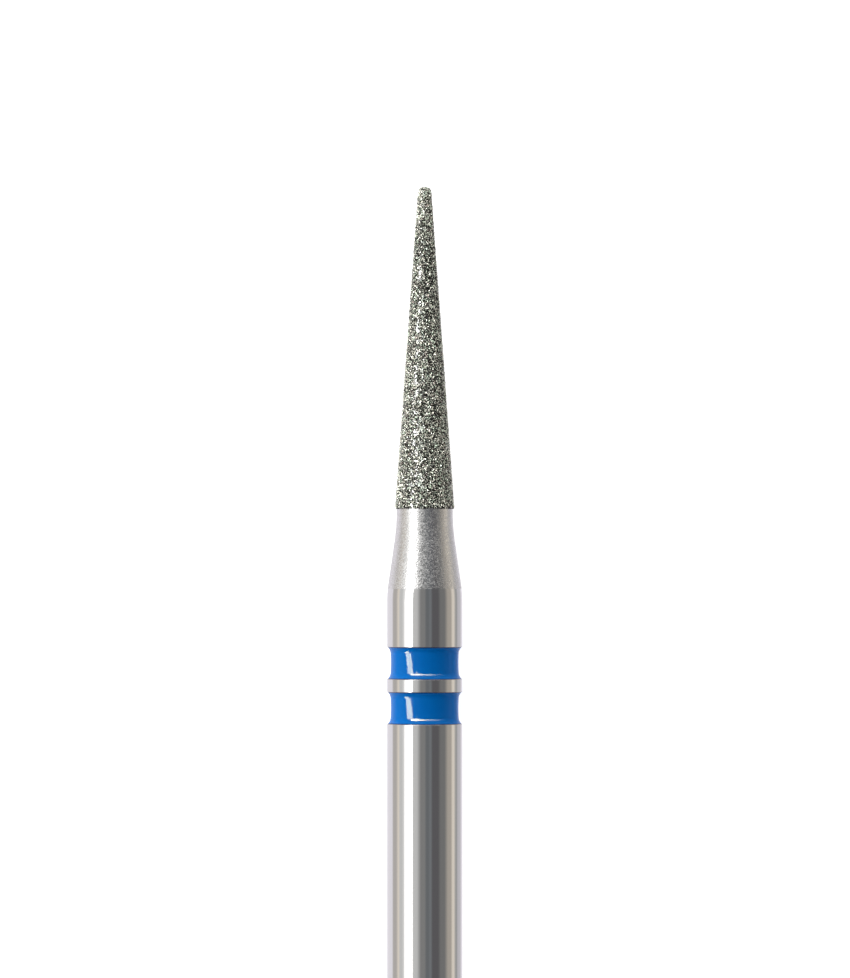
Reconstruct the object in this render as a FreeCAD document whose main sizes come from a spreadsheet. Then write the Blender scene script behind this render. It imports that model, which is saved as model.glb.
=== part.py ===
import FreeCAD, Part
import math
import os

import Sketcher

# Straight-shank dental bur with a long tapered head, lying on its shank as it comes to rest.
# One turned steel blank carries a plated coat of abrasive grit on its head, and two
# rings of coloured lacquer lie in grooves behind its neck.
# Millimetres. The origin is on the surface under the middle of the bur, and +X runs to the tip.
# Each sub-part is turned about its own upright axis, from the shank's end up, and then laid down.

# Driving dimensions: alias, millimetres (degrees for an angle), what it measures.
SIZES = (
    ("overall_length", 44.5, "end of the shank to the tip of the coated head"),
    ("shank_diameter", 2.35, "straight shank that the handpiece grips"),
    ("tail_chamfer", 0.25, "bevel round the end of the shank"),
    ("head_length", 10.0, "coated length of the head"),
    ("head_diameter", 1.85, "over the coat at its rear edge"),
    ("tip_diameter", 0.42, "over the coat where its taper meets the tip"),
    ("tip_radius", 0.17, "rounding of the coat at the tip"),
    ("coat_thickness", 0.1, "grit and plating, square to the surface"),
    ("coat_edge_radius", 0.06, "rounding of the coat at its rear edge"),
    ("core_tip_radius", 0.05, "rounding of the steel core under the tip"),
    ("neck_diameter", 1.75, "bare steel just behind the coat"),
    ("neck_length", 0.19, "straight part of the neck"),
    ("neck_radius", 5.3, "hollow curve from the neck into the flare"),
    ("flare_angle", 8.2, "half angle of the flare"),
    ("shoulder_radius", 3.0, "curve from the flare into the shank"),
    ("marker_distance", 1.47, "start of the full shank to the front groove"),
    ("marker_pitch", 1.4, "from one groove to the next"),
    ("groove_width", 0.97, "length of a groove along the shank"),
    ("groove_depth", 0.25, "depth of a groove in the steel"),
    ("lacquer_dip", 0.12, "how far the lacquer's waist lies under the shank's surface"),
    ("lacquer_rise", 0.2, "length over which the lacquer climbs to each rim"),
    ("waist_radius", 5.0, "shallow hollow of the lacquer's waist"),
)
RING_NAMES = ("front_marker_ring", "rear_marker_ring")
QUARTER_TURN = 90.0
FULL_TURN = 360.0
VOLUME_TOLERANCE = 1e-6
EDGE_TOLERANCE = 1e-4

# Lays an upright axis down along +X.
LAID_DOWN = FreeCAD.Rotation(FreeCAD.Vector(0, 1, 0), QUARTER_TURN)

# A rounding takes at most this share of the wall that it is cut into.
WALL_SHARE = 0.9

# How a sketch numbers the points of an edge, from one on, its own origin and its two axes.
START, END, CENTRE = range(1, 4)
ORIGIN = (-1, START)
LEVEL_AXIS, UPRIGHT_AXIS = -1, -2

# Heights and radii that several sub-parts share, worked out from the sheet.
SHANK_RADIUS = "Sizes.shank_diameter / 2"
GROOVE_FLOOR = "Sizes.shank_diameter / 2 - Sizes.groove_depth"
HEAD_REAR = "Sizes.overall_length - Sizes.head_length"
CORE_TOP = "Sizes.overall_length - Sizes.coat_thickness"
FLARE_ANGLE = "Sizes.flare_angle * 1deg"
FLARE_CONE = f"(Sizes.shank_diameter - Sizes.neck_diameter) / 2 / tan({FLARE_ANGLE})"
FLARE_CURVES = f"(Sizes.neck_radius + Sizes.shoulder_radius) * tan({FLARE_ANGLE} / 2)"
SHANK_START = f"{HEAD_REAR} - Sizes.neck_length - {FLARE_CONE} - {FLARE_CURVES}"
WAIST_CENTRE = "Sizes.shank_diameter / 2 - Sizes.lacquer_dip + Sizes.waist_radius"
FRONT_GROOVE = f"{SHANK_START} - Sizes.marker_distance - Sizes.groove_width"
TIP_ROUNDING = f"min(Sizes.tip_radius; Sizes.tip_diameter / 2 * {WALL_SHARE})"
CORE_ROUNDING = "min(Sizes.core_tip_radius; Sizes.tip_diameter / 2 - Sizes.coat_thickness)"
EDGE_ROUNDING = f"min(Sizes.coat_edge_radius; Sizes.coat_thickness * {WALL_SHARE})"


def make_sheet(doc):
    """Writes the driving dimensions into the document's sheet and returns them by alias."""
    sheet = doc.addObject("Spreadsheet::Sheet", "Sizes")
    for row, (alias, value, meaning) in enumerate(SIZES, start=1):
        sheet.set(f"A{row}", meaning)
        sheet.set(f"B{row}", str(value))
        sheet.setAlias(f"B{row}", alias)
    doc.recompute()
    return {alias: sheet.get(alias) for alias, value, meaning in SIZES}


def make_body(doc, label, height="0"):
    """A body laid along +X, its own origin at a height up the bur from the shank's end."""
    body = doc.addObject("PartDesign::Body", label)
    body.Label = label
    body.Placement = FreeCAD.Placement(FreeCAD.Vector(), LAID_DOWN)
    body.setExpression(".Placement.Base.x", f"{height} - Sizes.overall_length / 2")
    body.setExpression(".Placement.Base.z", SHANK_RADIUS)
    return body


def datum(body, role):
    """One of the body's own origin planes or axes."""
    return next(item for item in body.Origin.OriginFeatures if item.Role == role)


def half_section(body, name):
    """An empty sketch through the axis: its X is the radius and its Y the height."""
    sketch = body.newObject("Sketcher::SketchObject", name)
    sketch.AttachmentSupport = (datum(body, "XZ_Plane"), [""])
    sketch.MapMode = "FlatFace"
    return sketch


def turn(body, kind, name, sketch):
    """Adds (Revolution) or cuts (Groove) what a half section sweeps in a full turn."""
    feature = body.newObject("PartDesign::" + kind, name)
    feature.Profile = sketch
    feature.ReferenceAxis = (datum(body, "Z_Axis"), [""])
    feature.Angle = FULL_TURN
    return feature


def draw_outline(sketch, corners):
    """Draws a closed run of straight edges and returns the number of each by its name.

    A corner is the name of the edge that starts there, then its radius and its height."""
    points = [FreeCAD.Vector(radius, height, 0) for name, radius, height in corners]
    following = points[1:] + points[:1]
    lines = [Part.LineSegment(a, b) for a, b in zip(points, following)]
    edges = list(sketch.addGeometry(lines, False))
    for edge, after in zip(edges, edges[1:] + edges[:1]):
        sketch.addConstraint(Sketcher.Constraint("Coincident", edge, END, after, START))
    return {corner[0]: edge for corner, edge in zip(corners, edges)}


def level(sketch, *edges):
    for edge in edges:
        sketch.addConstraint(Sketcher.Constraint("Horizontal", edge))


def upright(sketch, *edges):
    for edge in edges:
        sketch.addConstraint(Sketcher.Constraint("Vertical", edge))


def tie(sketch, name, constraint, formula):
    """Adds a dimension to the sketch and binds it to the sheet."""
    number = sketch.addConstraint(constraint)
    sketch.renameConstraint(number, name)
    sketch.setExpression("Constraints." + name, formula)


def tie_radius(sketch, name, edge, end, formula):
    """Holds one end of an edge at a distance from the axis."""
    drawn = sketch.getPoint(edge, end).x
    tie(sketch, name, Sketcher.Constraint("DistanceX", *ORIGIN, edge, end, drawn), formula)


def tie_height(sketch, name, edge, end, formula):
    """Holds one end of an edge at a height above the body's origin."""
    drawn = sketch.getPoint(edge, end).y
    tie(sketch, name, Sketcher.Constraint("DistanceY", *ORIGIN, edge, end, drawn), formula)


def tie_rise(sketch, name, edge, formula):
    """Holds the height that an edge climbs from its start to its end."""
    drawn = sketch.getPoint(edge, END).y - sketch.getPoint(edge, START).y
    climb = Sketcher.Constraint("DistanceY", edge, START, edge, END, drawn)
    tie(sketch, name, climb, formula)


def round_corner(sketch, name, edge, after, radius, formula):
    """Rounds the corner between an edge and the next one, tangent to both."""
    ends = [(sketch.getPoint(line, START), sketch.getPoint(line, END)) for line in (edge, after)]
    middles = [(start + end) / 2 for start, end in ends]
    sketch.fillet(edge, after, *middles, radius)
    arc = sketch.GeometryCount - 1
    tie(sketch, name, Sketcher.Constraint("Radius", arc, radius), formula)


def draw_coat_line(sketch, size):
    """A construction line up the outside of the coat, from its rear edge to its tip."""
    rear = FreeCAD.Vector(size["head_diameter"] / 2, size["overall_length"] - size["head_length"], 0)
    tip = FreeCAD.Vector(size["tip_diameter"] / 2, size["overall_length"], 0)
    line = sketch.addGeometry(Part.LineSegment(rear, tip), True)
    tie_radius(sketch, "coat_rear_radius", line, START, "Sizes.head_diameter / 2")
    tie_height(sketch, "coat_rear_height", line, START, HEAD_REAR)
    tie_radius(sketch, "coat_tip_radius", line, END, "Sizes.tip_diameter / 2")
    tie_height(sketch, "coat_tip_height", line, END, "Sizes.overall_length")
    return line


def set_core(sketch, taper, top, coat_line, size):
    """Lays the core's taper and its top one coat thickness inside the coat."""
    sketch.addConstraint(Sketcher.Constraint("Parallel", taper, coat_line))
    thickness = Sketcher.Constraint("Distance", taper, START, coat_line, size["coat_thickness"])
    tie(sketch, "coat_thickness", thickness, "Sizes.coat_thickness")
    tie_height(sketch, "core_top", top, START, CORE_TOP)


def draw_turned_profile(body, size):
    """The blank's half section: shank, shoulder, flare, neck and the slimmer core of the head."""
    shank = size["shank_diameter"] / 2
    neck = size["neck_diameter"] / 2
    flare = math.radians(size["flare_angle"])
    head_rear = size["overall_length"] - size["head_length"]
    core_top = size["overall_length"] - size["coat_thickness"]
    neck_foot = head_rear - size["neck_length"] - size["neck_radius"] * math.tan(flare / 2)
    shoulder = neck_foot - (shank - neck) / math.tan(flare)
    corners = (
        ("tail_face", 0, 0),
        ("shank", shank, 0),
        ("flare", shank, shoulder),
        ("neck", neck, neck_foot),
        ("step", neck, head_rear),
        ("core", size["head_diameter"] / 2 - size["coat_thickness"], head_rear),
        ("core_top", size["tip_diameter"] / 2 - size["coat_thickness"], core_top),
        ("axis", 0, core_top),
    )
    sketch = half_section(body, "TurnedProfile")
    edge = draw_outline(sketch, corners)
    coat_line = draw_coat_line(sketch, size)
    level(sketch, edge["tail_face"], edge["step"], edge["core_top"])
    upright(sketch, edge["shank"], edge["neck"], edge["axis"])
    sketch.addConstraint(Sketcher.Constraint("Coincident", edge["tail_face"], START, *ORIGIN))
    round_corner(
        sketch,
        "shoulder_radius",
        edge["shank"],
        edge["flare"],
        size["shoulder_radius"],
        "Sizes.shoulder_radius",
    )
    round_corner(
        sketch,
        "neck_radius",
        edge["flare"],
        edge["neck"],
        size["neck_radius"],
        "Sizes.neck_radius",
    )
    round_corner(
        sketch,
        "core_rounding",
        edge["core"],
        edge["core_top"],
        size["core_tip_radius"],
        CORE_ROUNDING,
    )
    tie_radius(sketch, "shank_radius", edge["shank"], START, SHANK_RADIUS)
    tie_radius(sketch, "neck_half", edge["neck"], END, "Sizes.neck_diameter / 2")
    tie_height(sketch, "head_rear", edge["neck"], END, HEAD_REAR)
    tie_rise(sketch, "neck_length", edge["neck"], "Sizes.neck_length")
    slope = Sketcher.Constraint("Angle", edge["neck"], edge["flare"], flare)
    tie(sketch, "flare_angle", slope, FLARE_ANGLE)
    set_core(sketch, edge["core"], edge["core_top"], coat_line, size)
    return sketch


def draw_groove_profile(body, size):
    """The front groove's half section, as far outside the shank as it is deep."""
    shank = size["shank_diameter"] / 2
    foot = size["groove_width"]
    inner = shank - size["groove_depth"]
    outer = shank + size["groove_depth"]
    corners = (
        ("foot", inner, foot),
        ("mouth", outer, foot),
        ("head", outer, foot + size["groove_width"]),
        ("floor", inner, foot + size["groove_width"]),
    )
    sketch = half_section(body, "GrooveProfile")
    edge = draw_outline(sketch, corners)
    level(sketch, edge["foot"], edge["head"])
    upright(sketch, edge["mouth"], edge["floor"])
    tie_radius(sketch, "floor_radius", edge["foot"], START, GROOVE_FLOOR)
    tie_radius(sketch, "mouth_radius", edge["mouth"], START, SHANK_RADIUS + " + Sizes.groove_depth")
    tie_rise(sketch, "groove_width", edge["mouth"], "Sizes.groove_width")
    tie_height(sketch, "groove_height", edge["foot"], START, FRONT_GROOVE)
    return sketch


def edges_at(shape, radius, height):
    """Names of the circular edges of that radius at that height."""
    found = []
    for number, edge in enumerate(shape.Edges, start=1):
        if not isinstance(edge.Curve, Part.Circle):
            continue
        same_radius = abs(edge.Curve.Radius - radius) < EDGE_TOLERANCE
        same_height = abs(edge.Curve.Center.z - height) < EDGE_TOLERANCE
        if same_radius and same_height:
            found.append(f"Edge{number}")
    return found


def make_blank(doc, size):
    """The steel blank, turned in one piece, with a groove for each lacquer ring."""
    body = make_body(doc, "steel_blank")
    turned = turn(body, "Revolution", "TurnedBlank", draw_turned_profile(body, size))
    doc.recompute()
    bevel = body.newObject("PartDesign::Chamfer", "TailBevel")
    bevel.Base = (turned, edges_at(turned.Shape, size["shank_diameter"] / 2, 0))
    bevel.setExpression("Size", "Sizes.tail_chamfer")
    doc.recompute()
    solid_volume = body.Shape.Volume
    groove = turn(body, "Groove", "FrontGroove", draw_groove_profile(body, size))
    doc.recompute()
    grooves = body.newObject("PartDesign::LinearPattern", "MarkerGrooves")
    grooves.Originals = [groove]
    grooves.Direction = (datum(body, "Z_Axis"), [""])
    grooves.Reversed = True
    grooves.Mode = "Spacing"
    grooves.setExpression("Offset", "Sizes.marker_pitch")
    grooves.Occurrences = len(RING_NAMES)
    body.Tip = grooves
    doc.recompute()
    check_grooves(solid_volume - body.Shape.Volume, size)
    return body


def check_grooves(removed, size):
    """Stops the build if the grooves haven't taken out their own rings of steel."""
    outer = size["shank_diameter"] / 2
    inner = outer - size["groove_depth"]
    one_groove = math.pi * (outer**2 - inner**2) * size["groove_width"]
    if abs(removed - one_groove * len(RING_NAMES)) > VOLUME_TOLERANCE * removed:
        raise RuntimeError(f"the marker grooves removed {removed:.6f} cubic millimetres")


def draw_coat_profile(body, size):
    """The coat's half section: a thin tapered sleeve, closed over the tip."""
    outer_rear = size["head_diameter"] / 2
    outer_tip = size["tip_diameter"] / 2
    head_rear = size["overall_length"] - size["head_length"]
    core_top = size["overall_length"] - size["coat_thickness"]
    corners = (
        ("rear_face", outer_rear - size["coat_thickness"], head_rear),
        ("outside", outer_rear, head_rear),
        ("tip_face", outer_tip, size["overall_length"]),
        ("axis", 0, size["overall_length"]),
        ("core_top", 0, core_top),
        ("core", outer_tip - size["coat_thickness"], core_top),
    )
    sketch = half_section(body, "CoatProfile")
    edge = draw_outline(sketch, corners)
    coat_line = draw_coat_line(sketch, size)
    level(sketch, edge["rear_face"], edge["tip_face"], edge["core_top"])
    on_axis = Sketcher.Constraint("PointOnObject", edge["axis"], START, UPRIGHT_AXIS)
    sketch.addConstraint(on_axis)
    upright(sketch, edge["axis"])
    round_corner(
        sketch,
        "edge_rounding",
        edge["rear_face"],
        edge["outside"],
        size["coat_edge_radius"],
        EDGE_ROUNDING,
    )
    round_corner(
        sketch,
        "tip_rounding",
        edge["outside"],
        edge["tip_face"],
        size["tip_radius"],
        TIP_ROUNDING,
    )
    round_corner(
        sketch,
        "core_rounding",
        edge["core_top"],
        edge["core"],
        size["core_tip_radius"],
        CORE_ROUNDING,
    )
    sketch.addConstraint(Sketcher.Constraint("Tangent", edge["outside"], coat_line))
    tie_height(sketch, "head_rear", edge["rear_face"], START, HEAD_REAR)
    tie_height(sketch, "tip_height", edge["axis"], START, "Sizes.overall_length")
    set_core(sketch, edge["core"], edge["core_top"], coat_line, size)
    return sketch


def make_coat(doc, size):
    """The plated coat of abrasive grit, a sleeve that fits the core of the head."""
    body = make_body(doc, "diamond_coating")
    turn(body, "Revolution", "PlatedCoat", draw_coat_profile(body, size))
    return body


def draw_arc(sketch, centre, radius, first, last):
    """Draws the arc about a centre from one angle round to another."""
    circle = Part.Circle(centre, FreeCAD.Vector(0, 0, 1), radius)
    return sketch.addGeometry(Part.ArcOfCircle(circle, first, last), False)


def draw_line(sketch, start, end):
    line = Part.LineSegment(FreeCAD.Vector(*start), FreeCAD.Vector(*end))
    return sketch.addGeometry(line, False)


def draw_lacquer_profile(body, size):
    """A ring's half section: it fills the groove, dips at its waist and climbs to both rims."""
    rim = size["shank_diameter"] / 2
    floor = rim - size["groove_depth"]
    width = size["groove_width"]
    rise = size["lacquer_rise"]
    middle = FreeCAD.Vector(rim - size["lacquer_dip"] + size["waist_radius"], width / 2)
    half_waist = math.asin((width / 2 - rise) / size["waist_radius"])
    # A meniscus starts where the waist ends, with its centre on the line to the waist's own.
    inward = FreeCAD.Vector(math.cos(half_waist), math.sin(half_waist))
    waist_end = middle - inward * size["waist_radius"]
    to_rim = FreeCAD.Vector(rim, 0) - waist_end
    radius = to_rim.dot(to_rim) / (2 * to_rim.dot(inward))
    lower_centre = waist_end + inward * radius
    upper_centre = FreeCAD.Vector(lower_centre.x, width - lower_centre.y)
    reach = math.asin(lower_centre.y / radius)
    sketch = half_section(body, "LacquerProfile")
    foot = draw_line(sketch, (floor, 0), (rim, 0))
    head = draw_line(sketch, (rim, width), (floor, width))
    back = draw_line(sketch, (floor, width), (floor, 0))
    lower = draw_arc(sketch, lower_centre, radius, math.pi + half_waist, math.pi + reach)
    waist = draw_arc(sketch, middle, size["waist_radius"], math.pi - half_waist, math.pi + half_waist)
    upper = draw_arc(sketch, upper_centre, radius, math.pi - reach, math.pi - half_waist)
    joins = (
        ("Coincident", foot, END, lower, END),
        ("Tangent", lower, START, waist, END),
        ("Tangent", waist, START, upper, END),
        ("Coincident", upper, START, head, START),
        ("Coincident", head, END, back, START),
        ("Coincident", back, END, foot, START),
    )
    for join in joins:
        sketch.addConstraint(Sketcher.Constraint(*join))
    level(sketch, foot, head)
    upright(sketch, back)
    sketch.addConstraint(Sketcher.Constraint("PointOnObject", foot, START, LEVEL_AXIS))
    tie_radius(sketch, "floor_radius", foot, START, GROOVE_FLOOR)
    tie_radius(sketch, "foot_rim", foot, END, SHANK_RADIUS)
    tie_radius(sketch, "head_rim", head, START, SHANK_RADIUS)
    tie_height(sketch, "ring_width", head, START, "Sizes.groove_width")
    tie_radius(sketch, "waist_centre", waist, CENTRE, WAIST_CENTRE)
    tie_height(sketch, "waist_middle", waist, CENTRE, "Sizes.groove_width / 2")
    hollow = Sketcher.Constraint("Radius", waist, size["waist_radius"])
    tie(sketch, "waist_radius", hollow, "Sizes.waist_radius")
    tie_height(sketch, "foot_rise", lower, START, "Sizes.lacquer_rise")
    tie_height(sketch, "head_rise", upper, END, "Sizes.groove_width - Sizes.lacquer_rise")
    return sketch


def make_ring(doc, size, name, place):
    """One ring of lacquer: the first is in the front groove, each next one a pitch behind it."""
    body = make_body(doc, name, f"{FRONT_GROOVE} - {place} * Sizes.marker_pitch")
    turn(body, "Revolution", "Lacquer", draw_lacquer_profile(body, size))
    return body


def check_model(doc, bodies):
    """Stops the build if a feature has failed, a sketch is loose or a solid isn't sound."""
    for item in doc.Objects:
        if "Invalid" in item.State or "Error" in item.State:
            raise RuntimeError(f"{item.Label} failed")
        if item.TypeId == "Sketcher::SketchObject" and not item.FullyConstrained:
            raise RuntimeError(f"{item.Label} isn't fully constrained")
    for body in bodies:
        if body.Shape.isNull() or not body.Shape.isValid() or len(body.Shape.Solids) != 1:
            raise RuntimeError(f"{body.Label} isn't one sound solid")


def export(bodies):
    os.makedirs("parts", exist_ok=True)
    for body in bodies:
        body.Shape.exportStep(f"parts/{body.Label}.step")


document = FreeCAD.newDocument("dental_bur")
sizes = make_sheet(document)
sub_parts = [make_blank(document, sizes), make_coat(document, sizes)]
for index, ring_name in enumerate(RING_NAMES):
    sub_parts.append(make_ring(document, sizes, ring_name, index))
document.recompute()
check_model(document, sub_parts)
export(sub_parts)
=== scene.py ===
import math
import random

import bmesh
import bpy
from mathutils import Matrix, Vector


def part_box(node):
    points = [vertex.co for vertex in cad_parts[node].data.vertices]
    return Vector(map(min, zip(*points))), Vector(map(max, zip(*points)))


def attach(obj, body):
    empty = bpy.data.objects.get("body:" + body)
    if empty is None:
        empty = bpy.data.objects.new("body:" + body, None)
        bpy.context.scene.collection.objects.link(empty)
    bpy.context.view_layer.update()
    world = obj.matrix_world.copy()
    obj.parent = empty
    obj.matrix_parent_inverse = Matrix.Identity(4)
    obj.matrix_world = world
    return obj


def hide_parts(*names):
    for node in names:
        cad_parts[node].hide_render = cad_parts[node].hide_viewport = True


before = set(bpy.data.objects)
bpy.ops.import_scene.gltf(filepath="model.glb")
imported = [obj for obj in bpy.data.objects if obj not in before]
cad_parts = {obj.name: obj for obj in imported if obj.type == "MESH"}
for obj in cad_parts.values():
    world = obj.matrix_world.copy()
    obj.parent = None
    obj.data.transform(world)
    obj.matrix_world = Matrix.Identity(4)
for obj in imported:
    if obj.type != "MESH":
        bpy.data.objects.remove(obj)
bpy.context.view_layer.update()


# The blank: one bar of hardened stainless steel, turned and ground. From its bevelled end come
# the long shank, two marker grooves, the shoulder, the flare, the neck and the head's slim core.
# The shank is polished, and the neck and flare are blasted matt up to a sharp line.
MM = 0.001
blank_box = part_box("steel_blank")
coat_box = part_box("diamond_coating")
TAIL = blank_box[0].x
TIP = coat_box[1].x
HEAD_REAR = coat_box[0].x
SHANK_RADIUS = (blank_box[1].z - blank_box[0].z) / 2
AXIS_HEIGHT = (blank_box[1].z + blank_box[0].z) / 2
RINGS = ("rear_marker_ring", "front_marker_ring")
TAIL_BEVEL = 0.25 * MM
GROOVE_DEPTH = 0.25 * MM
EDGE_BREAK = 0.02 * MM
GROOVE_CORNER = 0.01 * MM
RIM_BREAK = 0.012 * MM
RIM_REAR = 0.02 * MM
RIM_FRONT = 0.012 * MM
SHOULDER_RADIUS = 3.0 * MM
NECK_RADIUS = 5.3 * MM
NECK_HALF_WIDTH = 0.875 * MM
NECK_LENGTH = 0.19 * MM
FLARE_ANGLE = math.radians(8.2)
HEAD_HALF_WIDTH = 0.925 * MM
TIP_HALF_WIDTH = 0.21 * MM
COAT_THICKNESS = 0.1 * MM
CORE_TIP_RADIUS = 0.05 * MM
BLAST_LINE = TIP - 12.51 * MM

LATHE_SEGMENTS = 192
ARC_STEP = math.radians(10)
SHARP_ANGLE = math.radians(35)
SUPPORT = 0.004 * MM

STEEL_FINISH = {"Base Color": (0.72, 0.715, 0.705, 1.0), "Metallic": 1.0}
POLISHED_ROUGHNESS = 0.09
BLAST_SOFTNESS = 0.012 * MM
GRINDING_LINE = 0.018 * MM
GRINDING_HEIGHT = 0.00001 * MM
DIMPLE_SIZE = 0.038 * MM
DIMPLE_SQUEEZE = 1.4
DIMPLE_DEPTH = 0.004 * MM
DIMPLE_SMOOTH = 0.12
DIMPLE_ROUGH = 0.5


def rounded_outline(corners):
    """The outline through (x, radius, rounding) corners, with an arc at each rounded one.

    A point close to each end of an arc keeps the smooth shading of long faces even."""
    outline = []
    for index, (x, radius, rounding) in enumerate(corners):
        corner = Vector((x, radius))
        if rounding == 0:
            outline.append(corner)
            continue
        back = (Vector(corners[index - 1][:2]) - corner).normalized()
        ahead = (Vector(corners[(index + 1) % len(corners)][:2]) - corner).normalized()
        turn = math.pi - back.angle(ahead)
        reach = rounding * math.tan(turn / 2)
        centre = corner + (back + ahead).normalized() * rounding / math.cos(turn / 2)
        start = corner + back * reach
        side = 1 if back.cross(ahead) < 0 else -1
        steps = max(2, math.ceil(turn / ARC_STEP))
        outline.append(start + back * SUPPORT)
        for step in range(steps + 1):
            outline.append(centre + Matrix.Rotation(side * turn * step / steps, 2) @ (start - centre))
        outline.append(corner + ahead * (reach + SUPPORT))
    return outline


def hoop(work, x, radius):
    """The points of one circle about the bur's axis, or a pole on it, taken once for each side."""
    if radius == 0:
        return [work.verts.new((x, 0, AXIS_HEIGHT))] * LATHE_SEGMENTS
    angles = [2 * math.pi * step / LATHE_SEGMENTS for step in range(LATHE_SEGMENTS)]
    places = [(x, radius * math.sin(a), AXIS_HEIGHT + radius * math.cos(a)) for a in angles]
    return [work.verts.new(place) for place in places]


def lathe(name, outline):
    """A closed mesh turned about the bur's axis, from a closed outline or one between two poles."""
    work = bmesh.new()
    hoops = [hoop(work, x, radius) for x, radius in outline]
    pairs = list(zip(hoops, hoops[1:]))
    if outline[0][1] > 0:
        pairs.append((hoops[-1], hoops[0]))
    for lower, upper in pairs:
        for step in range(LATHE_SEGMENTS):
            after = (step + 1) % LATHE_SEGMENTS
            around = (lower[step], lower[after], upper[after], upper[step])
            work.faces.new(dict.fromkeys(around))
    bmesh.ops.recalc_face_normals(work, faces=work.faces)
    mesh = bpy.data.meshes.new(name)
    work.to_mesh(mesh)
    work.free()
    mesh.shade_smooth()
    mesh.set_sharp_from_angle(angle=SHARP_ANGLE)
    piece = bpy.data.objects.new(name, mesh)
    bpy.context.scene.collection.objects.link(piece)
    return piece


def add_node(tree, kind, inputs=None, **settings):
    """Adds a node, and sets or links its inputs."""
    node = tree.nodes.new(kind)
    for setting, value in settings.items():
        setattr(node, setting, value)
    for socket, value in (inputs or {}).items():
        if isinstance(value, bpy.types.NodeSocket):
            tree.links.new(value, node.inputs[socket])
        else:
            node.inputs[socket].default_value = value
    return node


def combine(tree, operation, first, second=0.0):
    """A sum, product or other calculation on one or two values."""
    return add_node(tree, "ShaderNodeMath", {0: first, 1: second}, operation=operation).outputs[0]


def fade(tree, value, start, end, low=0.0, high=1.0):
    """Goes smoothly from low to high while a value goes from start to end."""
    steps = {"Value": value, "From Min": start, "From Max": end, "To Min": low, "To Max": high}
    node = add_node(tree, "ShaderNodeMapRange", steps, interpolation_type="SMOOTHSTEP")
    return node.outputs["Result"]


def noise(tree, place, size, detail, **settings):
    """Soft random patches of about this size, from nought to one."""
    inputs = {"Vector": place, "Scale": 1 / size, "Detail": detail}
    return add_node(tree, "ShaderNodeTexNoise", inputs, **settings).outputs["Fac"]


def relief(tree, height, depth, **others):
    """The normal of a surface that a pattern raises by this depth, with other inputs by name."""
    inputs = {"Strength": 1.0, "Distance": depth, "Height": height, **others}
    return add_node(tree, "ShaderNodeBump", inputs).outputs["Normal"]


def new_material(name, finish):
    """A material with one Principled shader, set to this finish, and its node tree."""
    material = bpy.data.materials.new(name)
    material.use_nodes = True
    shader = material.node_tree.nodes["Principled BSDF"]
    for socket, value in finish.items():
        shader.inputs[socket].default_value = value
    return material, material.node_tree, shader


def place_on_lathe(tree):
    """How far along the bur and how far from its axis a point of the surface is, and its place."""
    place = add_node(tree, "ShaderNodeTexCoord").outputs["Object"]
    split = add_node(tree, "ShaderNodeSeparateXYZ", {0: place})
    height = combine(tree, "SUBTRACT", split.outputs["Z"], AXIS_HEIGHT)
    across = combine(tree, "MULTIPLY", split.outputs["Y"], split.outputs["Y"])
    upward = combine(tree, "MULTIPLY", height, height)
    distance = combine(tree, "SQRT", combine(tree, "ADD", across, upward))
    return split.outputs["X"], distance, place


def steel_material():
    """Stainless steel: ground and polished, with faint turning lines, and blasted at the neck."""
    material, tree, shader = new_material("stainless_steel", STEEL_FINISH)
    along, distance, place = place_on_lathe(tree)
    blasted = fade(tree, along, BLAST_LINE - BLAST_SOFTNESS, BLAST_LINE + BLAST_SOFTNESS)
    lines = add_node(tree, "ShaderNodeCombineXYZ", {"X": along, "Y": distance}).outputs[0]
    grinding = noise(tree, lines, GRINDING_LINE, 2.0, noise_dimensions="2D")
    turned = relief(tree, grinding, GRINDING_HEIGHT)
    squeeze = {"Vector": place, "Scale": (DIMPLE_SQUEEZE, 1.0, 1.0)}
    squeezed = add_node(tree, "ShaderNodeMapping", squeeze).outputs[0]
    cells = {"Vector": squeezed, "Scale": 1 / DIMPLE_SIZE}
    dimples = add_node(tree, "ShaderNodeTexVoronoi", cells).outputs
    blasting = {"Strength": blasted, "Normal": turned}
    surface = relief(tree, dimples["Distance"], DIMPLE_DEPTH, **blasting)
    tree.links.new(surface, shader.inputs["Normal"])
    chance = add_node(tree, "ShaderNodeSeparateColor", {0: dimples["Color"]}).outputs[0]
    matt = fade(tree, chance, 0.0, 1.0, DIMPLE_SMOOTH, DIMPLE_ROUGH)
    mix = {"Factor": blasted, "A": POLISHED_ROUGHNESS, "B": matt}
    roughness = add_node(tree, "ShaderNodeMix", mix, data_type="FLOAT").outputs["Result"]
    tree.links.new(roughness, shader.inputs["Roughness"])
    return material


def groove_edges(ring):
    """Where a marker groove starts and ends, with its sharp rims broken just outside the ring."""
    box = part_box(ring)
    return box[0].x - RIM_REAR, box[1].x + RIM_FRONT


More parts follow.
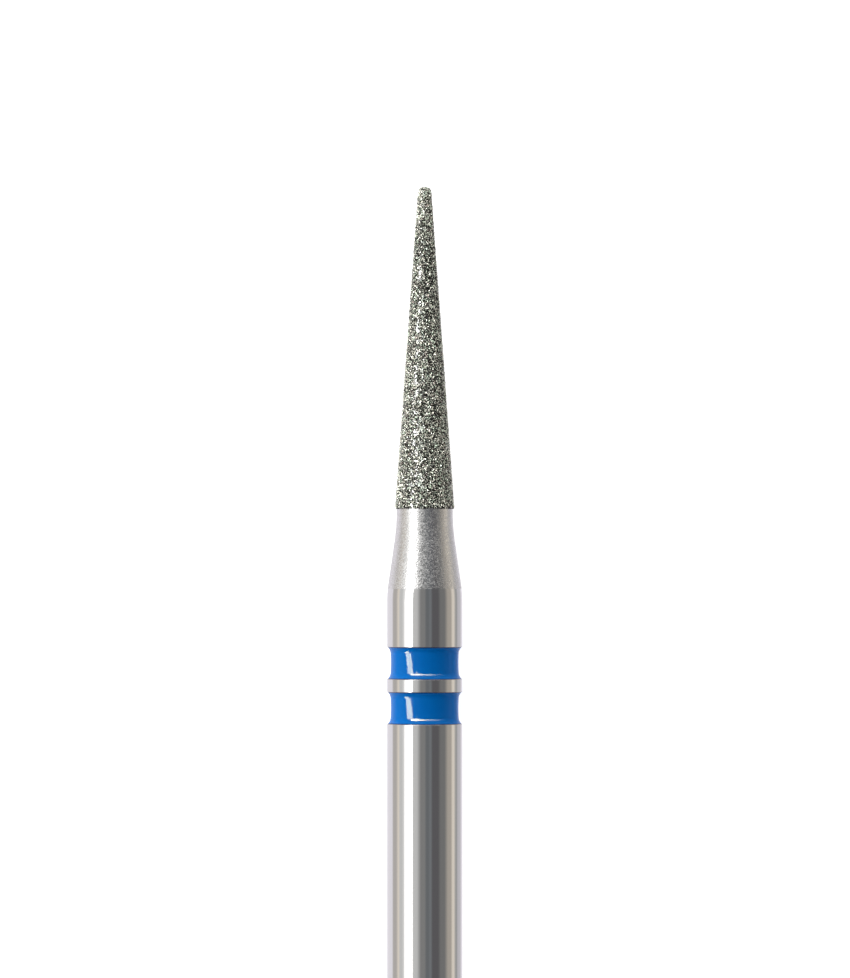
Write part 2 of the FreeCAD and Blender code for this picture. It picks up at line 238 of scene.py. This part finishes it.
def blank_outline():
    """The outline of the blank, from the middle of its end face to the top of its core."""
    flare_length = (SHANK_RADIUS - NECK_HALF_WIDTH) / math.tan(FLARE_ANGLE)
    neck_foot = HEAD_REAR - NECK_LENGTH - NECK_RADIUS * math.tan(FLARE_ANGLE / 2)
    corners = [
        (TAIL, 0, 0),
        (TAIL, SHANK_RADIUS - TAIL_BEVEL, EDGE_BREAK),
        (TAIL + TAIL_BEVEL, SHANK_RADIUS, EDGE_BREAK),
    ]
    for ring in RINGS:
        rear, front = groove_edges(ring)
        corners.append((rear, SHANK_RADIUS, RIM_BREAK))
        corners.append((rear, SHANK_RADIUS - GROOVE_DEPTH, GROOVE_CORNER))
        corners.append((front, SHANK_RADIUS - GROOVE_DEPTH, GROOVE_CORNER))
        corners.append((front, SHANK_RADIUS, RIM_BREAK))
    corners += [
        (neck_foot - flare_length, SHANK_RADIUS, SHOULDER_RADIUS),
        (neck_foot, NECK_HALF_WIDTH, NECK_RADIUS),
        (HEAD_REAR, NECK_HALF_WIDTH, EDGE_BREAK),
        (HEAD_REAR, HEAD_HALF_WIDTH - COAT_THICKNESS, 0),
        (TIP - COAT_THICKNESS, TIP_HALF_WIDTH - COAT_THICKNESS, CORE_TIP_RADIUS),
        (TIP - COAT_THICKNESS, 0, 0),
    ]
    return rounded_outline(corners)


blank = lathe("turned_blank", blank_outline())
blank.data.materials.append(steel_material())
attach(blank, "root")
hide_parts("steel_blank")


# The marker rings: two rings of blue baked lacquer that show the size of the grit. Each was laid
# wet in its groove, crept up both rims and drew in at its waist, and set to a high gloss.
LACQUER_DIP = 0.12 * MM
LACQUER_RISE = 0.2 * MM
WAIST_RADIUS = 5.0 * MM
LACQUER_INSET = 0.006 * MM
MENISCUS_STEPS = 24
WAIST_STEPS = 6
LACQUER_COLOUR = (0.0, 0.15, 0.53, 1.0)
# The rim colour is painted shade: a thin dark line where the lacquer meets the steel.
LACQUER_RIM_SHADE = (0.0, 0.012, 0.07, 1.0)
RIM_SHADE_WIDTH = 0.045 * MM
LACQUER_RIPPLE = 0.25 * MM
RIPPLE_HEIGHT = 0.0002 * MM
LACQUER_FINISH = {
    "Roughness": 0.4,
    "Specular IOR Level": 0.0,
    "Coat Weight": 1.0,
    "Coat Roughness": 0.03,
    "Coat IOR": 1.2,
}


def arc_points(centre, radius, start, end, steps):
    """Points of an arc from one angle to another, in radians."""
    angles = [start + (end - start) * step / steps for step in range(steps + 1)]
    return [centre + Vector((math.cos(angle), math.sin(angle))) * radius for angle in angles]


def ring_outline(rear, front):
    """A ring's section: flat in its groove, with a hollow waist between two climbing menisci."""
    rim = SHANK_RADIUS - LACQUER_INSET
    half_length = (front - rear) / 2
    middle = Vector(((rear + front) / 2, SHANK_RADIUS - LACQUER_DIP + WAIST_RADIUS))
    half_waist = math.asin((half_length - LACQUER_RISE) / WAIST_RADIUS)
    inward = Vector((math.sin(half_waist), math.cos(half_waist)))
    waist_end = middle - inward * WAIST_RADIUS
    to_rim = Vector((rear, rim)) - waist_end
    radius = to_rim.length_squared / (2 * to_rim.dot(inward))
    rear_centre = waist_end + inward * radius
    front_centre = Vector((rear + front - rear_centre.x, rear_centre.y))
    reach = math.asin((rear_centre.x - rear) / radius)
    down = -math.pi / 2
    outline = arc_points(rear_centre, radius, down - reach, down - half_waist, MENISCUS_STEPS)
    outline += arc_points(middle, WAIST_RADIUS, down - half_waist, down + half_waist, WAIST_STEPS)[1:-1]
    outline += arc_points(front_centre, radius, down + half_waist, down + reach, MENISCUS_STEPS)
    floor = SHANK_RADIUS - GROOVE_DEPTH
    return outline + [Vector((front, floor)), Vector((rear, floor))]


def lacquer_material(name, rear, front):
    """Blue lacquer with a clear gloss, and a painted shade line, near black, along the two rims."""
    material, tree, shader = new_material(name, LACQUER_FINISH)
    along, _, place = place_on_lathe(tree)
    # Painted shade along each rim, over this width.
    rear_shade = fade(tree, along, rear, rear + RIM_SHADE_WIDTH)
    front_shade = fade(tree, along, front, front - RIM_SHADE_WIDTH)
    body = combine(tree, "MULTIPLY", rear_shade, front_shade)
    mix = {"Factor": body, "A": LACQUER_RIM_SHADE, "B": LACQUER_COLOUR}
    shade = add_node(tree, "ShaderNodeMix", mix, data_type="RGBA").outputs["Result"]
    tree.links.new(shade, shader.inputs["Base Color"])
    gloss = relief(tree, noise(tree, place, LACQUER_RIPPLE, 1.0), RIPPLE_HEIGHT)
    tree.links.new(gloss, shader.inputs["Coat Normal"])
    return material


lacquered = bpy.data.collections.new("lacquered")
bpy.context.scene.collection.children.link(lacquered)
for node_name in RINGS:
    ring_rear, ring_front = groove_edges(node_name)
    band = lathe(node_name.replace("marker_ring", "lacquer_band"), ring_outline(ring_rear, ring_front))
    band.data.materials.append(lacquer_material(band.name + "_lacquer", ring_rear, ring_front))
    lacquered.objects.link(band)
    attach(band, "root")
    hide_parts(node_name)


# The nickel bond: matt grey nickel, plated over the core round the lower half of every grain.
# It is a thin tapered sleeve, closed over the tip, and its surface lies below the grains' tops.
BOND_DEPTH = 0.036 * MM
BOND_TIP_DEPTH = 0.048 * MM
BOND_TIP_ROUNDING = 0.13 * MM
BOND_EDGE_ROUNDING = 0.02 * MM
BOND_PEBBLE = 0.03 * MM
PEBBLE_HEIGHT = 0.004 * MM
# The near-black base colour is painted shade for the gaps between the grains, where the grey nickel
# lies in shadow.
SHADED_NICKEL_FINISH = {"Base Color": (0.08, 0.08, 0.07, 1.0), "Metallic": 1.0, "Roughness": 0.35}


def bond_outline():
    """The outline of the sleeve, down the core from its top, and back up outside over the tip."""
    corners = [
        (TIP - COAT_THICKNESS, 0, 0),
        (TIP - COAT_THICKNESS, TIP_HALF_WIDTH - COAT_THICKNESS, CORE_TIP_RADIUS),
        (HEAD_REAR, HEAD_HALF_WIDTH - COAT_THICKNESS, 0),
        (HEAD_REAR, HEAD_HALF_WIDTH - BOND_DEPTH, BOND_EDGE_ROUNDING),
        (TIP - BOND_TIP_DEPTH, TIP_HALF_WIDTH - BOND_DEPTH, BOND_TIP_ROUNDING),
        (TIP - BOND_TIP_DEPTH, 0, 0),
    ]
    return rounded_outline(corners)


def bond_material():
    """Matt nickel plating, pebbled over the grains that it buries, and painted near black as shade."""
    material, tree, shader = new_material("nickel_plating", SHADED_NICKEL_FINISH)
    place = add_node(tree, "ShaderNodeTexCoord").outputs["Object"]
    surface = relief(tree, noise(tree, place, BOND_PEBBLE, 2.0), PEBBLE_HEIGHT)
    tree.links.new(surface, shader.inputs["Normal"])
    return material


bond = lathe("nickel_bond", bond_outline())
bond.data.materials.append(bond_material())
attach(bond, "root")


# The diamond grit: about 9,300 sharp, blocky grains of synthetic diamond, a tenth of a millimetre
# across, packed close in one layer over the whole head. The plating grips their lower halves.
# They carry painted shade that deepens towards it, are dark on rough facets, and shine in patches where
# the head was dressed.
GRAIN_SIZE = 0.095 * MM
GRAIN_SPACING = 0.0485 * MM
GRAIN_SINK = 0.004 * MM
GRAIN_SHAPES = 8
GRAIN_CORNERS = 12
GRAIN_SLIM = 0.85
GRAIN_STOUT = 1.15
SPOT_TRIES = 25.0
GRIT_SEED = 7
TURN_SEED = 1
STRETCH_SEED = 2
TONE_SEED = 3
GRAIN_DARK = (0.60, 0.50, 0.45, 1.0)
GRAIN_GREEN = (0.75, 0.88, 0.71, 1.0)
GRAIN_LIGHT = (0.98, 0.96, 0.83, 1.0)
GREEN_TONE = 0.25
LIGHT_TONE = 0.6
LIT_ABOVE = 0.2 * BOND_DEPTH
DARK_BELOW = 0.7 * BOND_DEPTH
GRAIN_SHADE = 0.02
NOSE_LENGTH = 1.0 * MM
NOSE_SHADE_EASING = 1.7
TIP_ROUNDING = 0.17 * MM
FROST_SIZE = 0.042 * MM
FROST_FROM = 0.44
FROST_TO = 0.5
FROST_SHADE = 0.05
DRESSED_PATCH = 0.15 * MM
DRESSED_FROM = 0.52
DRESSED_TO = 0.6
DIAMOND_FINISH = {"Metallic": 0.4, "Roughness": 0.2, "Coat Roughness": 0.12, "Coat IOR": 2.4}
CORE_FACING = -0.01


def scaled(tree, vector, factor):
    """A vector made longer, or a colour made brighter, by a factor."""
    inputs = {0: vector, "Scale": factor}
    return add_node(tree, "ShaderNodeVectorMath", inputs, operation="SCALE").outputs[0]


def normalized(tree, vector):
    """A vector made one long."""
    return add_node(tree, "ShaderNodeVectorMath", {0: vector}, operation="NORMALIZE").outputs[0]


def random_vector(tree, low, high, seed):
    """A different vector for every spot or corner, with each part between two values."""
    inputs = {"Min": (low, low, low), "Max": (high, high, high), "Seed": seed}
    return add_node(tree, "FunctionNodeRandomValue", inputs, data_type="FLOAT_VECTOR").outputs[0]


def grain_spots(tree, given):
    """Random spots as close as their spacing lets them stand, sunk a little into the plating."""
    per_area = combine(tree, "POWER", given["Grain Spacing"], -2.0)
    scatter = {
        "Mesh": given["Geometry"],
        "Distance Min": given["Grain Spacing"],
        "Density Max": combine(tree, "MULTIPLY", per_area, SPOT_TRIES),
        "Seed": given["Seed"],
    }
    kind = "GeometryNodeDistributePointsOnFaces"
    spots = add_node(tree, kind, scatter, distribute_method="POISSON").outputs
    inward = scaled(tree, spots["Normal"], combine(tree, "MULTIPLY", given["Grain Sink"], -1.0))
    sink = {"Geometry": spots["Points"], "Offset": inward}
    return add_node(tree, "GeometryNodeSetPosition", sink).outputs[0]


def grain_shapes(tree):
    """A few convex shards, each the hull of random corners on a ball."""
    shapes = add_node(tree, "GeometryNodeJoinGeometry")
    for number in range(GRAIN_SHAPES):
        corner = normalized(tree, random_vector(tree, -1.0, 1.0, number))
        cloud = add_node(tree, "GeometryNodePoints", {"Count": GRAIN_CORNERS, "Position": corner})
        shard = add_node(tree, "GeometryNodeConvexHull", {"Geometry": cloud.outputs[0]})
        whole = add_node(tree, "GeometryNodeGeometryToInstance", {0: shard.outputs[0]})
        tree.links.new(whole.outputs[0], shapes.inputs[0])
    return shapes.outputs[0]


def grit_tree(material):
    """Scatters the grains: close random spots, and at each a convex shard turned at random."""
    tree = bpy.data.node_groups.new("diamond_grit", "GeometryNodeTree")
    tree.interface.new_socket("Geometry", in_out="INPUT", socket_type="NodeSocketGeometry")
    for name in ("Grain Size", "Grain Spacing", "Grain Sink"):
        tree.interface.new_socket(name, in_out="INPUT", socket_type="NodeSocketFloat")
    tree.interface.new_socket("Seed", in_out="INPUT", socket_type="NodeSocketInt")
    tree.interface.new_socket("Geometry", in_out="OUTPUT", socket_type="NodeSocketGeometry")
    given = add_node(tree, "NodeGroupInput").outputs
    stretched = random_vector(tree, GRAIN_SLIM, GRAIN_STOUT, STRETCH_SEED)
    radius = combine(tree, "MULTIPLY", given["Grain Size"], 0.5)
    placing = {
        "Points": grain_spots(tree, given),
        "Instance": grain_shapes(tree),
        "Pick Instance": True,
        "Rotation": random_vector(tree, 0.0, math.tau, TURN_SEED),
        "Scale": scaled(tree, stretched, radius),
    }
    grains = add_node(tree, "GeometryNodeInstanceOnPoints", placing).outputs[0]
    tone = add_node(tree, "FunctionNodeRandomValue", {"Seed": TONE_SEED}, data_type="FLOAT")
    toned = add_node(
        tree,
        "GeometryNodeStoreNamedAttribute",
        {"Geometry": grains, "Name": "grain_tone", "Value": tone.outputs["Value"]},
        data_type="FLOAT",
        domain="INSTANCE",
    ).outputs[0]
    real = add_node(tree, "GeometryNodeRealizeInstances", {"Geometry": toned}).outputs[0]
    finished = add_node(tree, "GeometryNodeSetMaterial", {"Geometry": real, "Material": material})
    add_node(tree, "NodeGroupOutput", {"Geometry": finished.outputs[0]})
    return tree


def grain_colour(tree):
    """Each grain's own colour: a few brown, some green, and most of them pale straw."""
    tone = add_node(tree, "ShaderNodeAttribute", attribute_name="grain_tone").outputs["Fac"]
    shade = add_node(tree, "ShaderNodeValToRGB", {"Fac": tone})
    stops = shade.color_ramp.elements
    stops[0].color = GRAIN_DARK
    stops[1].color = GRAIN_LIGHT
    stops.new(GREEN_TONE).color = GRAIN_GREEN
    stops.new(LIGHT_TONE).color = GRAIN_LIGHT
    return shade.outputs["Color"]


def depth_at_edge(tree, depths, rounding):
    """The depth under two faces that meet in a rounded edge, from the depth under each of them."""
    squares = []
    for depth in depths:
        short = combine(tree, "MAXIMUM", combine(tree, "SUBTRACT", rounding, depth), 0.0)
        squares.append(combine(tree, "MULTIPLY", short, short))
    from_centre = combine(tree, "SQRT", combine(tree, "ADD", *squares))
    return combine(tree, "SUBTRACT", rounding, from_centre)


def grain_light(tree, along, distance):
    """Painted shade: one at the grains' tops, falling to a deep shade at the plating, and later on the
    nose.
    """
    taper = {
        "Value": along,
        "From Min": HEAD_REAR,
        "From Max": TIP,
        "To Min": HEAD_HALF_WIDTH,
        "To Max": TIP_HALF_WIDTH,
    }
    envelope = add_node(tree, "ShaderNodeMapRange", taper).outputs["Result"]
    beside = combine(tree, "SUBTRACT", envelope, distance)
    below = combine(tree, "SUBTRACT", TIP, along)
    nose = fade(tree, along, TIP - 2 * NOSE_LENGTH, TIP, 1.0, NOSE_SHADE_EASING)
    depth = combine(tree, "DIVIDE", depth_at_edge(tree, (beside, below), TIP_ROUNDING), nose)
    return fade(tree, depth, LIT_ABOVE, DARK_BELOW, 1.0, GRAIN_SHADE)


def diamond_material():
    """Cut facets of synthetic diamond with painted shade deeper down, some rough and some dressed to a
    shine.
    """
    material, tree, shader = new_material("diamond_grain", DIAMOND_FINISH)
    along, distance, place = place_on_lathe(tree)
    lit = grain_light(tree, along, distance)
    frost = noise(tree, place, FROST_SIZE, 0.0)
    frosted = fade(tree, frost, FROST_FROM, FROST_TO, FROST_SHADE, 1.0)
    # The base colour carries painted shade: it is dark deep down towards the plating, and less so on
    # the nose.
    colour = scaled(tree, grain_colour(tree), combine(tree, "MULTIPLY", lit, frosted))
    tree.links.new(colour, shader.inputs["Base Color"])
    patches = noise(tree, place, DRESSED_PATCH, 1.0)
    dressed = fade(tree, patches, DRESSED_FROM, DRESSED_TO)
    tree.links.new(combine(tree, "MULTIPLY", dressed, lit), shader.inputs["Coat Weight"])
    on_axis = add_node(tree, "ShaderNodeCombineXYZ", {"X": along, "Z": AXIS_HEIGHT}).outputs[0]
    apart = {0: place, 1: on_axis}
    outward = add_node(tree, "ShaderNodeVectorMath", apart, operation="SUBTRACT").outputs[0]
    tree.links.new(normalized(tree, outward), shader.inputs["Coat Normal"])
    return material


def faces_core(face):
    """Whether a face of the sleeve lies against the core."""
    centre = face.calc_center_median()
    inside = Vector((min(centre.x, TIP - NOSE_LENGTH), 0, AXIS_HEIGHT))
    outward = (centre - inside).normalized()
    return face.normal.dot(outward) < CORE_FACING


def plated_surface(mesh):
    """The outside of the sleeve in small faces in random order, so that the grains lie evenly."""
    work = bmesh.new()
    work.from_mesh(mesh)
    hidden = [face for face in work.faces if faces_core(face)]
    bmesh.ops.delete(work, geom=hidden, context="FACES")
    longest = max(edge.calc_length() for edge in work.edges)
    sides = [edge for edge in work.edges if edge.calc_length() > longest / 2]
    bmesh.ops.subdivide_edges(work, edges=sides, cuts=math.ceil(longest / GRAIN_SPACING))
    chance = random.Random(GRIT_SEED)
    work.faces.sort(key=lambda face: chance.random())
    surface = bpy.data.meshes.new("plated_surface")
    work.to_mesh(surface)
    work.free()
    return surface


def scatter_grit(source, settings):
    """The grains on a surface, as a plain mesh of their own."""
    tree = grit_tree(diamond_material())
    holder = bpy.data.objects.new("grit_holder", plated_surface(source.data))
    bpy.context.scene.collection.objects.link(holder)
    scatter = holder.modifiers.new("diamond_grit", "NODES")
    scatter.node_group = tree
    for item in tree.interface.items_tree:
        if item.name in settings and item.in_out == "INPUT":
            scatter[item.identifier] = settings[item.name]
    finished = holder.evaluated_get(bpy.context.evaluated_depsgraph_get())
    mesh = bpy.data.meshes.new_from_object(finished)
    mesh.name = "diamond_grit"
    bpy.data.objects.remove(holder)
    piece = bpy.data.objects.new("diamond_grit", mesh)
    bpy.context.scene.collection.objects.link(piece)
    return piece


grit = scatter_grit(
    bond,
    {
        "Grain Size": GRAIN_SIZE,
        "Grain Spacing": GRAIN_SPACING,
        "Grain Sink": GRAIN_SINK,
        "Seed": GRIT_SEED,
    },
)
gritted = bpy.data.collections.new("gritted")
bpy.context.scene.collection.children.link(gritted)
gritted.objects.link(grit)
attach(grit, "root")
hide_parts("diamond_coating")


# The surface that the bur lies on: a lit white table, bright enough to stay plain in the picture.
# Reflections leave it out, and show the studio's panels instead, which go on all the way round.
TABLE_SIZE = 4.0
TABLE_FINISH = {
    "Base Color": (0.8, 0.8, 0.8, 1.0),
    "Roughness": 0.9,
    "Specular IOR Level": 0.0,
    "Emission Color": (1.0, 1.0, 1.0, 1.0),
    "Emission Strength": 0.86,
}

bpy.ops.mesh.primitive_plane_add(size=TABLE_SIZE)
table = bpy.context.object
table.name = "light_table"
table.data.materials.append(new_material("white_table", TABLE_FINISH)[0])
table.visible_glossy = False


# The studio: soft panels all round the bur, told by their angle about its axis from straight
# above it, with the picture's left negative. A key strip on the left, with a bright core, turns
# over the bur's tip. A lean is an angle towards the tip, and all these angles are in degrees.
NEUTRAL = (1.0, 1.0, 1.0)
WARM = (1.07, 0.98, 0.87)
STRAW = (1.03, 0.98, 0.94)
COOL = (0.94, 1.0, 1.07)
LILAC = (0.99, 0.96, 1.03)
PANELS = (
    ("white backdrop on the left", -180, -118, 0.95, LILAC),
    ("grey flag", -112, -97, 0.54, STRAW),
    ("thin card", -89, -86, 0.84, WARM),
    ("side wall", -82, -73, 0.70, NEUTRAL),
    ("behind the key strip", -65, -38, 1.0, NEUTRAL),
    ("bounce card", -35, -24, 0.66, NEUTRAL),
    ("ceiling", -12, 0, 0.26, NEUTRAL),
    ("camera's side", 5, 12, 0.18, COOL),
    ("thin cool card", 16, 19, 0.22, COOL),
    ("black flag", 24, 42, 0.13, LILAC),
    ("grey wall", 50, 64, 0.21, NEUTRAL),
    ("fill on the right", 76, 88, 0.46, WARM),
    ("warm strip", 95, 101, 0.82, WARM),
    ("right flag", 110, 117, 0.42, NEUTRAL),
    ("right card", 122, 137, 0.64, LILAC),
    ("white backdrop on the right", 155, 180, 0.95, LILAC),
)
KEY_TURNS = (-63, -39)
KEY_LEANS = (-34, 60)
KEY_SLANT = 0.24
CORE_TURNS = (-50, -39)
CORE_LEVEL = 2.6
TOP_TURNS = (-63, 70)
TOP_LEANS = (42, 58)
TOP_LEVEL = 1.6
TOP_SOFT_EDGE = 8.0
FRONT_LEANS = (58, 72)
FRONT_LEVEL = 0.5
REAR_LEANS = (-55, -70)
REAR_LEVEL = 0.4
DIM_LEANS = (-10, -50)
DIM_REAR = 0.15
HORIZON = 0.1
SOFT_EDGE = 2.0
WHITE = (1.0, 1.0, 1.0, 1.0)


def panel_ramp(tree, turn):
    """The brightness of the panels by the angle about the bur's axis."""
    whole = {"Value": turn, "From Min": -math.pi, "From Max": math.pi}
    place = add_node(tree, "ShaderNodeMapRange", whole)
    ramp = add_node(tree, "ShaderNodeValToRGB", {"Fac": place.outputs["Result"]})
    stops = ramp.color_ramp.elements
    stops.remove(stops[1])
    stops[0].position = 0.0
    edges = [(angle, level, tint) for _, start, end, level, tint in PANELS for angle in (start, end)]
    for index, (angle, level, tint) in enumerate(edges):
        stop = stops.new((angle + 180) / 360) if index else stops[0]
        stop.color = (*(level * part for part in tint), 1.0)
    return ramp.outputs["Color"]


def fade_in(tree, value, span, low, high):
    """Goes smoothly from low to high over a span of angles in degrees."""
    return fade(tree, value, math.radians(span[0]), math.radians(span[1]), low, high)


def window(tree, value, span, soft=SOFT_EDGE):
    """Is one between two angles, and falls softly to nought outside them."""
    opens = fade_in(tree, value, (span[0] - soft, span[0] + soft), 0.0, 1.0)
    closes = fade_in(tree, value, (span[1] - soft, span[1] + soft), 1.0, 0.0)
    return combine(tree, "MULTIPLY", opens, closes)


def key_light(tree, turn, lean):
    """The key strip, a little aslant to the bur, with its bright core along one side."""
    aslant = combine(tree, "SUBTRACT", turn, combine(tree, "MULTIPLY", lean, KEY_SLANT))
    core = combine(tree, "MULTIPLY", window(tree, aslant, CORE_TURNS), CORE_LEVEL)
    key = combine(tree, "ADD", window(tree, aslant, KEY_TURNS), core)
    return combine(tree, "MULTIPLY", key, window(tree, lean, KEY_LEANS))


def top_light(tree, turn, lean):
    """The strip that turns off from the key, over the bur's tip."""
    across = window(tree, turn, TOP_TURNS, TOP_SOFT_EDGE)
    shape = combine(tree, "MULTIPLY", across, window(tree, lean, TOP_LEANS))
    return combine(tree, "MULTIPLY", shape, TOP_LEVEL)


def rear_dimming(tree, lean, height):
    """Darkens the panels towards the rear, above the horizon only."""
    above = fade(tree, height, -HORIZON, HORIZON)
    behind = fade_in(tree, lean, DIM_LEANS, 0.0, 1.0 - DIM_REAR)
    return combine(tree, "SUBTRACT", 1.0, combine(tree, "MULTIPLY", behind, above))


def build_studio():
    """Lights the world by direction, and shows the camera a plain white room."""
    world = bpy.data.worlds.new("studio")
    world.use_nodes = True
    bpy.context.scene.world = world
    tree = world.node_tree
    tree.nodes.clear()
    direction = add_node(tree, "ShaderNodeTexCoord").outputs["Generated"]
    split = add_node(tree, "ShaderNodeSeparateXYZ", {0: direction}).outputs
    rightward = combine(tree, "MULTIPLY", split["Y"], -1.0)
    turn = combine(tree, "ARCTAN2", rightward, split["Z"])
    lean = combine(tree, "ARCSINE", split["X"])
    panels = scaled(tree, panel_ramp(tree, turn), rear_dimming(tree, lean, split["Z"]))
    front = fade_in(tree, lean, FRONT_LEANS, 0.0, FRONT_LEVEL)
    rear = fade_in(tree, lean, REAR_LEANS, 0.0, REAR_LEVEL)
    key_and_walls = combine(tree, "ADD", key_light(tree, turn, lean), combine(tree, "ADD", front, rear))
    lamps = combine(tree, "ADD", key_and_walls, top_light(tree, turn, lean))
    light = add_node(tree, "ShaderNodeVectorMath", {0: panels, 1: lamps}, operation="ADD").outputs[0]
    seen = add_node(tree, "ShaderNodeBackground", {"Color": WHITE}).outputs[0]
    lit = add_node(tree, "ShaderNodeBackground", {"Color": light}).outputs[0]
    by_camera = add_node(tree, "ShaderNodeLightPath").outputs["Is Camera Ray"]
    both = add_node(tree, "ShaderNodeMixShader", {0: by_camera, 1: lit, 2: seen}).outputs[0]
    add_node(tree, "ShaderNodeOutputWorld", {"Surface": both})


build_studio()


# Soft boxes that show in the gloss of the lacquer only, as a hooked white streak: a strip on the
# left, a little aslant to the bur, a row across the front, dimmer to the right, for the hook's
# thin tail, and one in its elbow. Two more light the grit only: a glinting strip and a soft fill.
RINGS_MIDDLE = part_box(RINGS[1])[0].x
HEAD_MIDDLE = (HEAD_REAR + TIP) / 2
BOX_DISTANCE = 0.4
BOX_COLOUR = (1.0, 0.98, 0.6)
BOX_RADIANCE = 190.0
STRIP_TURN = math.radians(-53)
STRIP_SLANT = math.radians(-30)
STRIP_REAR = 0.26
STRIP_FRONT = 0.34
STRIP_WIDTH = 0.124
ELBOW_TURN = math.radians(-26)
ELBOW_LEAN = math.radians(17)
ELBOW_SLANT = math.radians(45)
ELBOW_SIZE = 0.13
TAIL_STEPS = 8
TAIL_LEFT = math.radians(-22)
TAIL_RIGHT = math.radians(33)
TAIL_LEAN = math.radians(14)
TAIL_WIDTH = 0.1
TAIL_RADIANCE = 560.0
TAIL_FADE = 1.9
GLINT_TURN = math.radians(-45)
GLINT_LENGTH = 0.9
GLINT_WIDTH = 0.17
GLINT_RADIANCE = 19.0
FILL_TURN = math.radians(-14)
FILL_SIZE = 0.16
FILL_RADIANCE = 8.0
FILL_COLOUR = (0.9, 1.0, 0.9)


def soft_box(name, sides, radiance, target, place, lit_pieces):
    """A rectangular lamp set off from a point on the axis, that lights a few pieces only."""
    length, width = sides
    lamp = bpy.data.lights.new(name, "AREA")
    lamp.shape = "RECTANGLE"
    lamp.size = length
    lamp.size_y = width
    lamp.energy = radiance * length * width
    box = bpy.data.objects.new(name, lamp)
    box.matrix_world = Matrix.Translation((target, 0, AXIS_HEIGHT)) @ place
    box.visible_camera = False
    box.light_linking.receiver_collection = lit_pieces
    bpy.context.scene.collection.objects.link(box)
    return box


def hook_box(name, sides, radiance, place):
    """A soft box that shows in the lacquer's gloss, but doesn't brighten its blue."""
    box = soft_box(name, sides, radiance, RINGS_MIDDLE, place, lacquered)
    box.visible_diffuse = False
    box.data.color = BOX_COLOUR


def mirrored_aim(aside, lean):
    """The way to what the camera sees in a gloss that faces this far aside and leans forward."""
    facing = Vector((0, -math.sin(aside), math.cos(aside))) * math.cos(lean)
    facing.x = math.sin(lean)
    seen = 2 * facing.z * facing - Vector((0, 0, 1))
    turned = Matrix.Rotation(math.atan2(-seen.y, seen.z), 4, "X")
    return turned @ Matrix.Rotation(math.asin(seen.x), 4, "Y")


away = Matrix.Translation((0, 0, BOX_DISTANCE))
strip_slant = Matrix.Rotation(STRIP_SLANT, 4, "Z")
strip_shift = Matrix.Translation(((STRIP_FRONT - STRIP_REAR) / 2, 0, 0))
strip_place = Matrix.Rotation(STRIP_TURN, 4, "X") @ away @ strip_slant @ strip_shift
hook_box("strip_box", (STRIP_REAR + STRIP_FRONT, STRIP_WIDTH), BOX_RADIANCE, strip_place)
elbow_aim = Matrix.Rotation(ELBOW_TURN, 4, "X") @ Matrix.Rotation(ELBOW_LEAN, 4, "Y")
elbow_place = elbow_aim @ away @ Matrix.Rotation(ELBOW_SLANT, 4, "Z")
hook_box("elbow_box", (ELBOW_SIZE, ELBOW_SIZE), BOX_RADIANCE, elbow_place)
tail_angle = (TAIL_RIGHT - TAIL_LEFT) / TAIL_STEPS
tail_length = 2 * BOX_DISTANCE * math.tan(tail_angle)
for step in range(TAIL_STEPS):
    tail_place = mirrored_aim(TAIL_LEFT + (step + 0.5) * tail_angle, TAIL_LEAN) @ away
    tail_radiance = TAIL_RADIANCE * (1 - step / TAIL_STEPS) ** TAIL_FADE
    hook_box(f"tail_box_{step + 1}", (TAIL_WIDTH, tail_length), tail_radiance, tail_place)

glint_place = Matrix.Rotation(GLINT_TURN, 4, "X") @ away
glint_sides = (GLINT_LENGTH, GLINT_WIDTH)
glint_box = soft_box("glint_box", glint_sides, GLINT_RADIANCE, HEAD_MIDDLE, glint_place, gritted)
glint_box.visible_diffuse = False
fill_place = Matrix.Rotation(FILL_TURN, 4, "X") @ away
fill_sides = (FILL_SIZE, FILL_SIZE)
fill_box = soft_box("fill_box", fill_sides, FILL_RADIANCE, HEAD_MIDDLE, fill_place, gritted)
fill_box.data.color = FILL_COLOUR


# The camera looks straight down, with the tip at the top of the picture and the shank's end
# outside it, as in the photograph. Its place and its scale come from where the photograph shows
# the tip and the bur's axis, and from how wide the shank is there.
PICTURE_WIDTH = 850
PICTURE_HEIGHT = 978
SHANK_PIXELS = 75.5
TIP_PIXEL = 186.6
AXIS_PIXEL = 424.65
CAMERA_DISTANCE = 0.3
NEAREST_SEEN = 0.01
FARTHEST_SEEN = 10.0
SENSOR = 36.0

metres_per_pixel = 2 * SHANK_RADIUS / SHANK_PIXELS
camera_x = TIP - (PICTURE_HEIGHT / 2 - TIP_PIXEL) * metres_per_pixel
camera_y = -(PICTURE_WIDTH / 2 - AXIS_PIXEL) * metres_per_pixel
lens = bpy.data.cameras.new("camera")
lens.sensor_width = SENSOR
lens.lens = SENSOR * CAMERA_DISTANCE / (PICTURE_HEIGHT * metres_per_pixel)
lens.clip_start = NEAREST_SEEN
lens.clip_end = FARTHEST_SEEN
camera = bpy.data.objects.new("camera", lens)
camera.location = (camera_x, camera_y, AXIS_HEIGHT + CAMERA_DISTANCE)
camera.rotation_euler = (0, 0, -math.pi / 2)
bpy.context.scene.collection.objects.link(camera)
bpy.context.scene.camera = camera

bpy.context.scene.view_settings.view_transform = "Standard"
bpy.context.scene.view_settings.look = "None"

bpy.context.view_layer.update()
